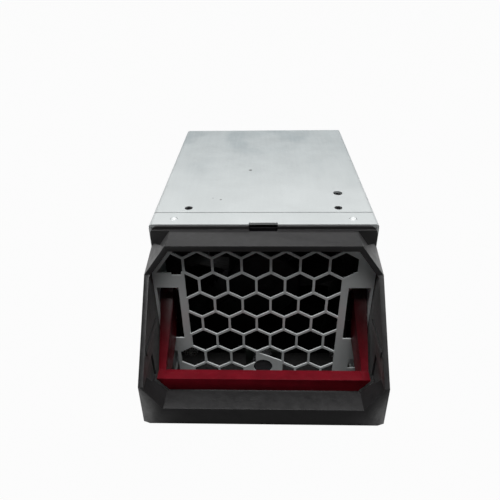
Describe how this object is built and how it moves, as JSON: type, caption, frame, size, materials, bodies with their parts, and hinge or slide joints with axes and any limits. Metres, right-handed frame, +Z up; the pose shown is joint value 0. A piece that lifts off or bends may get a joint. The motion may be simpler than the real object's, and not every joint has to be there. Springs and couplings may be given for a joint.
{
  "type": "server fan module",
  "caption": "Hot-swap server fan module: sheet-metal box with counter-rotating axial fans behind a honeycomb grille, moulded bezel and swinging bail handle.",
  "frame": {"origin": "middle of the box's underside", "axes": "+Z up, +Y towards the plug at the rear, the grille and the handle face -Y"},
  "size_m": [0.091, 0.1569, 0.0836],
  "materials": {
    "black_oxide": "black oxide",
    "black_plastic": "fine moulded texture",
    "bright_steel": "turned and plated",
    "cable_sleeve": "satin",
    "circuit_board": "solder mask",
    "copper_winding": "enamelled copper on laminations",
    "fan_plastic": "glass-filled, matte",
    "gold_contact": "plated",
    "impeller_plastic": "satin",
    "lamp_lens": "clear smoke",
    "magnet_ferrite": "bonded ferrite",
    "maroon_plastic": "fine moulded texture",
    "rubber_foam": "matte",
    "zinc_steel": "zinc-plated sheet, satin"
  },
  "bodies": {
    "chassis": {"bearing_front_front": "bright_steel", "bearing_front_rear": "bright_steel", "bearing_rear_front": "bright_steel", "bearing_rear_rear": "bright_steel", "bezel": "black_plastic", "collar_rivet_left": "bright_steel", "collar_rivet_right": "bright_steel", "fan_frame_front": "fan_plastic", "fan_frame_rear": "fan_plastic", "front_collar": "zinc_steel", "grille_plate": "zinc_steel", "handle_pin_left": "bright_steel", "handle_pin_right": "bright_steel", "lamp_board": "circuit_board", "lamp_lens": "lamp_lens", "lead_front_fan": "cable_sleeve", "lead_rear_fan": "cable_sleeve", "lid_screw_left": "black_oxide", "lid_screw_right": "black_oxide", "motor_board_front": "circuit_board", "motor_board_rear": "circuit_board", "plug_housing": "black_plastic", "rear_guard": "zinc_steel", "side_pad_left": "rubber_foam", "side_pad_right": "rubber_foam", "stator_front": "copper_winding", "stator_rear": "copper_winding", "terminal_1": "gold_contact", "terminal_2": "gold_contact", "terminal_3": "gold_contact", "terminal_4": "gold_contact", "terminal_5": "gold_contact", "terminal_6": "gold_contact", "tie_nut_1": "bright_steel", "tie_nut_2": "bright_steel", "tie_nut_3": "bright_steel", "tie_nut_4": "bright_steel", "tie_screw_1": "bright_steel", "tie_screw_2": "bright_steel", "tie_screw_3": "bright_steel", "tie_screw_4": "bright_steel", "top_lid": "zinc_steel", "tray": "zinc_steel"},
    "handle": {"handle": "maroon_plastic"},
    "front_rotor": {"impeller_front": "impeller_plastic", "magnet_ring_front": "magnet_ferrite", "shaft_front": "bright_steel"},
    "rear_rotor": {"impeller_rear": "impeller_plastic", "magnet_ring_rear": "magnet_ferrite", "shaft_rear": "bright_steel"}
  },
  "joints": [
    {"name": "handle_swing", "type": "hinge", "parent": "chassis", "child": "handle", "pos_m": [0, -0.0561, 0.055], "axis": [-1, 0, 0], "range_deg": [0, 35]},
    {"name": "front_fan_spin", "type": "hinge", "parent": "chassis", "child": "front_rotor", "pos_m": [0, -0.0441, 0.0413], "axis": [0, 1, 0], "continuous": true},
    {"name": "rear_fan_spin", "type": "hinge", "parent": "chassis", "child": "rear_rotor", "pos_m": [0, -0.0058, 0.0413], "axis": [0, 1, 0], "continuous": true}
  ]
}
